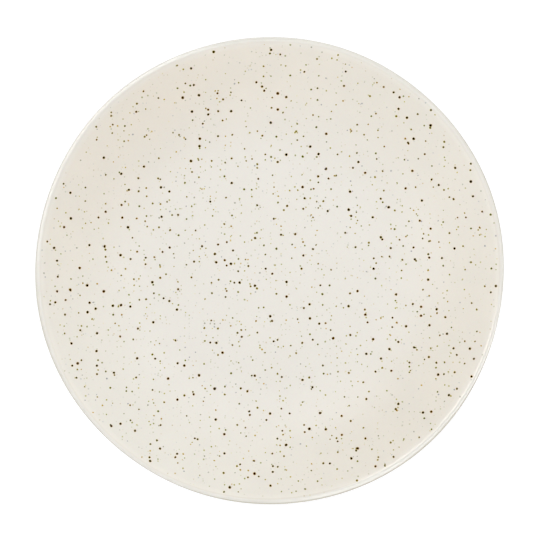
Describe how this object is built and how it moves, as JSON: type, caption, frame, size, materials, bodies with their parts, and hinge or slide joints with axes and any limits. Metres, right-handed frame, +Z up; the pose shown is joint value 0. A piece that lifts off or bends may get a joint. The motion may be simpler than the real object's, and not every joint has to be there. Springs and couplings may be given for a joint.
{
  "type": "side plate",
  "caption": "Round coupe side plate of speckled cream glazed stoneware, with a flat floor, curved wall, rounded lip and bare foot ring.",
  "frame": {"origin": "on the plate's axis at the table, in the plane of the foot ring's underside", "axes": "+Z up along the plate's axis, from the table to the open face; X and Y lie in the table's plane"},
  "size_m": [0.21, 0.21, 0.022],
  "materials": {
    "stoneware": "matte",
    "speckled_glaze": "gloss",
    "base_glaze": "gloss"
  },
  "bodies": {
    "root": {"stoneware_body": "stoneware", "glaze_coat": "speckled_glaze", "base_glaze": "base_glaze"}
  },
  "joints": []
}
